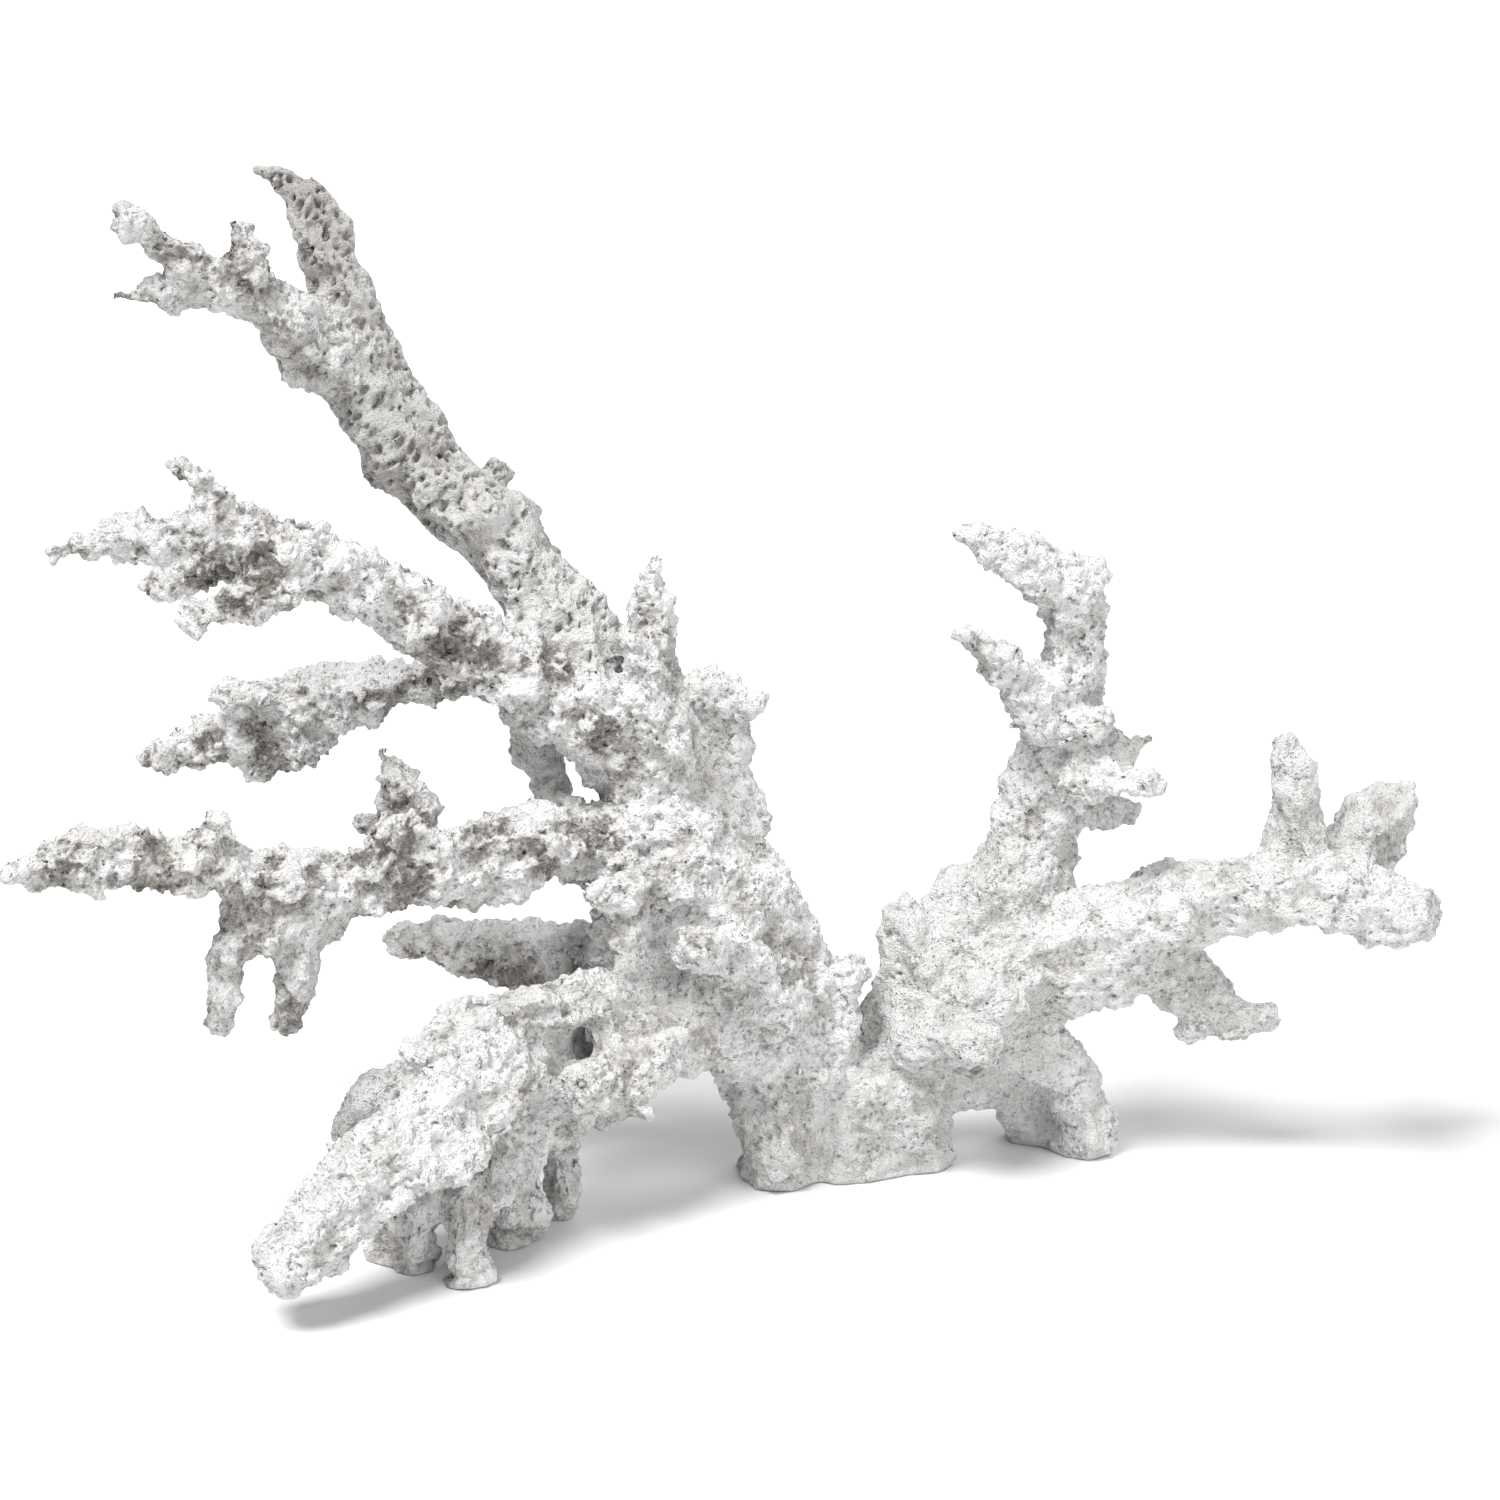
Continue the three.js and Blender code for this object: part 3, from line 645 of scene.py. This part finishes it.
class Form:
    """The worked mesh as arrays, from which each branch is cut and capped."""

    def __init__(self, mesh, surface):
        self.surface = surface
        self.places = read(mesh.vertices, "co", 3, float).reshape(-1, 3)
        self.normals = read(mesh.vertices, "normal", 3, float).reshape(-1, 3)
        self.quads = read(mesh.loops, "vertex_index").reshape(-1, 4)
        self.labels = read(mesh.attributes["branch"].data, "value")
        self.masks = {name: read(mesh.attributes[name].data, "value", kind=np.float32)
                      for name in ("relief", "hollow", *FINISH_NAMES)}

    def rims(self, quads):
        """The open edges of a patch, grouped into its rims."""
        edges = np.concatenate([quads[:, [k, (k + 1) % 4]] for k in range(4)])
        key = np.sort(edges, axis=1)
        _, index, count = np.unique(key, axis=0, return_index=True, return_counts=True)
        rim = edges[index[count == 1]]
        leader = {}

        def root(point):
            while leader.setdefault(point, point) != point:
                leader[point] = leader[leader[point]]
                point = leader[point]
            return point

        for a, b in rim.tolist():
            leader[root(a)] = root(b)
        groups = {}
        for a, b in rim.tolist():
            groups.setdefault(root(a), []).append((a, b))
        return list(groups.values())

    def cap(self, rim, places, normals, first):
        """Rings that sink from a rim into the form and close on one point inside it."""
        points, local = np.unique(np.array(rim), return_inverse=True)
        start, end = local.reshape(-1, 2).T
        outer = self.sunk(places[points] - normals[points] * CAP_DEPTH)
        middle = self.sunk(outer.mean(axis=0, keepdims=True))
        rings = [self.sunk(outer + (middle - outer) * share) for share in CAP_RINGS]
        around = np.arange(len(points))
        rows = [points] + [first + k * len(points) + around for k in range(len(rings))]
        walls = [np.stack([up[end], up[start], down[start], down[end]], axis=1)
                 for up, down in zip(rows, rows[1:])]
        tip = np.full(len(start), first + len(rings) * len(points))
        fan = np.stack([rows[-1][end], rows[-1][start], tip], axis=1)
        return np.concatenate(rings + [middle]), np.concatenate(walls), fan

    def sunk(self, places):
        """The places, each moved until it lies deep enough under the surface."""
        lowered = places.copy()
        for index, place in enumerate(places):
            nearest, normal, _, _ = self.surface.find_nearest(place)
            if (Vector(place) - nearest).dot(normal) > -CAP_DEPTH:
                lowered[index] = nearest - normal * CAP_DEPTH
        return lowered

    def branch(self, index, name, material):
        """One branch as a closed mesh: its outer skin and a cap inside each fork."""
        quads = self.quads[self.labels == index]
        used, local = np.unique(quads, return_inverse=True)
        quads = local.reshape(-1, 4)
        places = self.places[used]
        normals = self.normals[used]
        caps = []
        for rim in self.rims(quads):
            inner, walls, fan = self.cap(rim, places, normals, len(places))
            places = np.concatenate([places, inner])
            quads = np.concatenate([quads, walls])
            caps.append(fan)
        caps = np.concatenate(caps)
        cap_points = len(places) - len(used)
        normals = np.concatenate([normals, np.tile(CAP_NORMAL, (cap_points, 1))])
        mesh = bpy.data.meshes.new(name)
        mesh.vertices.add(len(places))
        mesh.vertices.foreach_set("co", places.ravel())
        corners = np.concatenate([quads.ravel(), caps.ravel()])
        mesh.loops.add(len(corners))
        mesh.loops.foreach_set("vertex_index", corners.astype(np.int32))
        mesh.polygons.add(len(quads) + len(caps))
        starts = np.concatenate([np.arange(len(quads)) * 4, quads.size + np.arange(len(caps)) * 3])
        mesh.polygons.foreach_set("loop_start", starts.astype(np.int32))
        mesh.polygons.foreach_set("use_smooth", np.ones(len(starts), dtype=bool))
        for mask, values in self.masks.items():
            attribute = mesh.attributes.new(mask, "FLOAT", "POINT")
            attribute.data.foreach_set("value", np.pad(values[used], (0, cap_points)))
        mesh.update(calc_edges=True)
        mesh.validate()
        mesh.normals_split_custom_set_from_vertices(normals.tolist())
        mesh.materials.append(material)
        return add_object(name, mesh)


def grain_group():
    """Fine chalk grain and a foam of pinholes, finer than the mesh can hold."""
    tree = bpy.data.node_groups.new("Chalk grain", "ShaderNodeTree")
    add_sockets(tree, [
        ("Grain Size", "value", 1.0 * MM),
        ("Pinhole Size", "value", 1.5 * MM),
        ("Pinhole Share", "value", 0.5),
    ], [("Height", "value"), ("Pinholes", "value")])
    net = Wiring(tree)
    entry = net.node("NodeGroupInput").outputs
    place = net.node("ShaderNodeTexCoord").outputs["Object"]
    grain = net.noise(place, entry["Grain Size"], detail=1.5, roughness=0.6)
    stir = net.stir(place, PINHOLE_STIR_SIZE, detail=1.0)
    bent = net.vector("ADD", place, net.vector("SCALE", stir, scale=PINHOLE_STIR_REACH))
    distance, colour = net.cells(bent, entry["Pinhole Size"])
    draw = net.node("ShaderNodeSeparateColor", {0: colour}).outputs
    least, most = PINHOLE_WIDTHS
    width = net.scaled(draw["Green"], most - least, least)
    cluster = net.ramp(net.noise(place, CLUSTER_SIZE), *CLUSTER_BAND)
    share = net.product(cluster, entry["Pinhole Share"])
    pinhole = net.ramp(net.math("DIVIDE", distance, width), 1.0, PINHOLE_BOTTOM)
    pinhole = net.product(pinhole, net.math("LESS_THAN", draw["Red"], share))
    height = net.math("SUBTRACT", net.product(grain, GRAIN_HEIGHT),
                      net.product(pinhole, PINHOLE_DEPTH))
    net.node("NodeGroupOutput", {"Height": height, "Pinholes": pinhole})
    return tree


def shade_group():
    """Chalk white on what stands out, painted shade and dust in hollows and recesses, faint warm
    patches.
    """
    tree = bpy.data.node_groups.new("Chalk shade", "ShaderNodeTree")
    add_sockets(tree, [
        ("Chalk", "colour", CHALK),
        ("Grey Chalk", "colour", GREY_CHALK),
        ("Dust And Shade", "colour", DUST_AND_SHADE),
        ("Stain", "colour", STAIN),
        # How strongly the hollows take painted shade, the recesses dust and painted shade, and the
        # pinholes dust and painted shade.
        ("Hollow Shade", "value", 0.65),
        ("Recess Dust And Shade", "value", 1.2),
        ("Pinhole Dust And Shade", "value", 0.14),
        ("Pinholes", "value", 0.0),
    ], [("Color", "colour"), ("Roughness", "value")])
    net = Wiring(tree)
    entry = net.node("NodeGroupInput").outputs
    place = net.node("ShaderNodeTexCoord").outputs["Object"]
    hollow, relief, pitted, worn, dusty_and_shaded = (
        net.node("ShaderNodeAttribute", attribute_name=name).outputs["Fac"]
        for name in ("hollow", "relief", "pitted", "worn", "dusty_and_shaded"))

    cloud = net.ramp(net.noise(place, CLOUD_SIZE, detail=4.0, roughness=0.55), *CLOUD_BAND)
    mottle = net.ramp(net.noise(place, MOTTLE_SIZE, detail=3.0, roughness=0.7), *MOTTLE_BAND)
    # Recesses and undersides, read from the relief, are darkened as painted shade, and the dust
    # clouds gather there too.
    recess = net.ramp(relief, *RECESS_BAND)
    patch = net.product(cloud, net.scaled(recess, *CLOUD_BY_RECESS))
    patch = net.total(net.product(patch, CLOUD_SHARE), net.product(recess, RECESS_SHARE))
    grainy = net.scaled(net.math("MAXIMUM", mottle, entry["Pinholes"]), *DUST_AND_SHADE_BY_GRAIN)
    # Branches that lie in shade take more of this dust and painted shade.
    amount = net.scaled(dusty_and_shaded, *DUST_AND_SHADE_BY_BRANCH)
    patch = net.product(patch, grainy, entry["Recess Dust And Shade"], amount)
    # Pinholes are darkened as dust and as painted shade in their pits.
    specks = net.total(net.product(entry["Pinholes"], entry["Pinhole Dust And Shade"]),
                       net.product(mottle, MOTTLE_DUST))
    # The hollows are darkened as painted shade.
    deep = net.product(hollow, entry["Hollow Shade"])
    # The dust clouds and mottle, with the painted shade of hollows, recesses and pinholes.
    dust_and_shade = net.math("ADD", net.math("MAXIMUM", deep, patch), specks, clamp=True)

    stain = net.ramp(net.noise(place, STAIN_SIZE, detail=3.0), *STAIN_BAND, 0.0, STAIN_SHARE)
    height = net.node("ShaderNodeSeparateXYZ", {0: place}).outputs["Z"]
    greying = net.ramp(height, GREYING_FROM, GREYING_TO, FOOT_GREY, 1.0)
    grey = net.math("MAXIMUM", net.product(pitted, greying), net.product(worn, WORN_GREY))
    colour = entry["Chalk"]
    for share, other in ((grey, "Grey Chalk"), (stain, "Stain"), (dust_and_shade, "Dust And Shade")):
        inputs = {MIX_SHARE: share, MIX_FIRST: colour, MIX_SECOND: entry[other]}
        colour = net.node("ShaderNodeMix", inputs, data_type="RGBA").outputs[MIX_RESULT]
    roughness = net.ramp(dust_and_shade, 0.0, 1.0, CLEAN_ROUGHNESS, DUSTY_ROUGHNESS)
    net.node("NodeGroupOutput", {"Color": colour, "Roughness": roughness})
    return tree


def coral_material(name, grain, shade, grain_size, pinhole_size, pinhole_share, bump):
    """Matte chalk with the shared shade and its own grain."""
    material = bpy.data.materials.new(name)
    material.use_nodes = True
    net = Wiring(material.node_tree)
    net.tree.nodes.clear()
    fine = net.node("ShaderNodeGroup", node_tree=grain)
    fine.inputs["Grain Size"].default_value = grain_size
    fine.inputs["Pinhole Size"].default_value = pinhole_size
    fine.inputs["Pinhole Share"].default_value = pinhole_share
    colour = net.node("ShaderNodeGroup", node_tree=shade)
    net.feed(colour.inputs["Pinholes"], fine.outputs["Pinholes"])
    bumped = net.node("ShaderNodeBump", {
        "Strength": bump,
        "Distance": BUMP_DISTANCE,
        "Height": fine.outputs["Height"],
    })
    surface = net.node("ShaderNodeBsdfPrincipled", {
        "Base Color": colour.outputs["Color"],
        "Roughness": colour.outputs["Roughness"],
        "Normal": bumped.outputs["Normal"],
        "Specular IOR Level": CORAL_SPECULAR,
    })
    net.node("ShaderNodeOutputMaterial", {"Surface": surface.outputs[0]})
    return material


def coral_pieces():
    """One closed piece for each branch, in the material of its strongest finish."""
    nodes = list(BRANCH_FINISH)
    form, labels = grown_form(nodes)
    pairs = face_pairs(form)
    labels = even_borders(labels, pairs, len(nodes))
    labels = join_islands(labels, pairs, len(nodes))
    write_finish(form, labels, nodes)
    grain, shade = grain_group(), shade_group()
    materials = {kind: coral_material(kind + "_coral", grain, shade, *values)
                 for kind, values in CORAL_MATERIALS.items()}
    worked = Form(*worked_form(form, materials["crusty"]))
    for index, node in enumerate(nodes):
        share = dict(zip(FINISH_NAMES, BRANCH_FINISH[node]))
        kind = max(materials, key=lambda name: share[name])
        piece = worked.branch(index, node + "_skin", materials[kind])
        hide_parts(node)
        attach(piece, "root")


def studio():
    """A wide pale floor, the soft lights, and a faint surround that looks white."""
    near, far = -FLOOR_REACH, FLOOR_REACH
    mesh = bpy.data.meshes.new("floor")
    corners = [(near, near, 0), (far, near, 0), (far, far, 0), (near, far, 0)]
    mesh.from_pydata(corners, [], [(0, 1, 2, 3)])
    floor = add_object("floor", mesh)
    pale = bpy.data.materials.new("pale_floor")
    pale.use_nodes = True
    surface = pale.node_tree.nodes["Principled BSDF"]
    surface.inputs["Base Color"].default_value = (FLOOR_SHADE, FLOOR_SHADE, FLOOR_SHADE, 1.0)
    surface.inputs["Roughness"].default_value = FLOOR_ROUGHNESS
    surface.inputs["Specular IOR Level"].default_value = FLOOR_SPECULAR
    mesh.materials.append(pale)
    for name, (heading, strength, width) in SOFT_LIGHTS.items():
        lamp = bpy.data.lights.new(name, "SUN")
        lamp.energy = strength
        lamp.angle = math.radians(width)
        holder = add_object(name, lamp)
        holder.rotation_euler = Vector(heading).to_track_quat("-Z", "Y").to_euler()
    world = bpy.data.worlds.new("surround")
    world.use_nodes = True
    net = Wiring(world.node_tree)
    net.tree.nodes.clear()
    seen = net.node("ShaderNodeLightPath").outputs["Is Camera Ray"]
    strength = net.math("MAXIMUM", seen, SURROUND_STRENGTH)
    surround = net.node("ShaderNodeBackground", {"Color": WHITE, "Strength": strength})
    net.node("ShaderNodeOutputWorld", {0: surround.outputs[0]})
    bpy.context.scene.world = world
    bpy.context.scene.view_settings.view_transform = "Standard"


def front_camera():
    """The eye of the front view, set by the floor point that its middle column shows."""
    sin, cos = math.sin(VIEW_ELEVATION), math.cos(VIEW_ELEVATION)
    ahead = Vector((0.0, cos, -sin))
    up = Vector((0.0, sin, cos))
    drop = (FLOOR_ROW - PICTURE_ROWS / 2) * FRONT_VIEW_WIDTH / PICTURE_ROWS
    line = ahead * VIEW_DISTANCE - up * drop
    reach = VIEW_DISTANCE * cos / line.y
    eye = VIEW_POINT_ON_FLOOR - line * reach
    data = bpy.data.cameras.new("front_view")
    data.sensor_width = SENSOR_WIDTH
    data.lens = SENSOR_WIDTH * VIEW_DISTANCE / FRONT_VIEW_WIDTH
    data.clip_start = CLIP_START
    data.clip_end = CLIP_END
    camera = add_object("front_view", data)
    turn = Matrix((Vector((1.0, 0.0, 0.0)), up, -ahead)).transposed()
    camera.matrix_world = Matrix.Translation(eye) @ turn.to_4x4()
    bpy.context.scene.camera = camera


front_camera()
studio()
coral_pieces()
